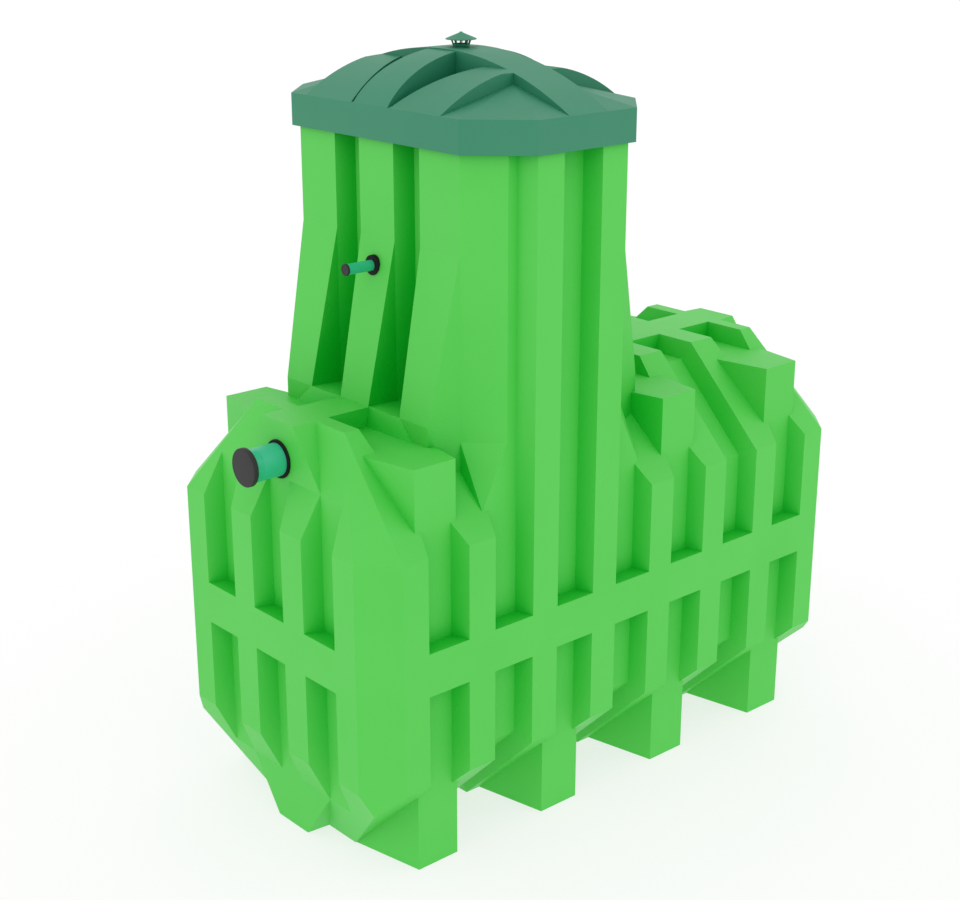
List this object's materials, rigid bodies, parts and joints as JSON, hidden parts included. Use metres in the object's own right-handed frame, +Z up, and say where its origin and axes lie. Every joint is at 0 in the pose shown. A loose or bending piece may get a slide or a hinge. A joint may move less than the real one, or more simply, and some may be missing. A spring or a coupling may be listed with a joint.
{
  "type": "septic tank",
  "caption": "Ribbed moulded septic tank on feet, with a tall access neck, a domed lid with a vent, capped pipe stubs at both ends and a small duct on the neck.",
  "frame": {"origin": "on the floor under the middle of the tank", "axes": "+Z up, +X along the tank from the inlet end to the outlet end, -Y towards the front"},
  "size_m": [2.388, 1.191, 2.6292],
  "materials": {
    "tank_plastic": "satin moulded polyethylene, bright green",
    "lid_plastic": "satin moulded polyethylene, dark green",
    "pipe_plastic": "smooth extruded pipe, sea green",
    "gasket_rubber": "black sealing rubber",
    "cap_plastic": "dark grey moulded cap"
  },
  "bodies": {
    "root": {"bottom": "tank_plastic", "front_chine": "tank_plastic", "back_chine": "tank_plastic", "inlet_chine": "tank_plastic", "outlet_chine": "tank_plastic", "front_wall": "tank_plastic", "back_wall": "tank_plastic", "inlet_wall": "tank_plastic", "outlet_wall": "tank_plastic", "front_inlet_shoulder": "tank_plastic", "front_outlet_shoulder": "tank_plastic", "back_inlet_shoulder": "tank_plastic", "back_outlet_shoulder": "tank_plastic", "inlet_shoulder": "tank_plastic", "outlet_shoulder": "tank_plastic", "inlet_deck": "tank_plastic", "outlet_deck": "tank_plastic", "front_feet": "tank_plastic", "back_feet": "tank_plastic", "inlet_foot": "tank_plastic", "outlet_foot": "tank_plastic", "front_lugs": "tank_plastic", "back_lugs": "tank_plastic", "inlet_boss": "tank_plastic", "outlet_boss": "tank_plastic", "neck_inlet_wall": "tank_plastic", "neck_outlet_wall": "tank_plastic", "neck_front_wall": "tank_plastic", "neck_back_wall": "tank_plastic", "lid_skirt": "lid_plastic", "lid_spine": "lid_plastic", "lid_inlet_panel": "lid_plastic", "lid_outlet_panel": "lid_plastic", "vent_collar": "lid_plastic", "vent_cage": "lid_plastic", "vent_cap": "lid_plastic", "inlet_pipe": "pipe_plastic", "outlet_pipe": "pipe_plastic", "duct_pipe": "pipe_plastic", "inlet_gasket": "gasket_rubber", "outlet_gasket": "gasket_rubber", "duct_flange": "gasket_rubber", "inlet_cap": "cap_plastic", "outlet_cap": "cap_plastic", "duct_plug": "cap_plastic"}
  },
  "joints": []
}
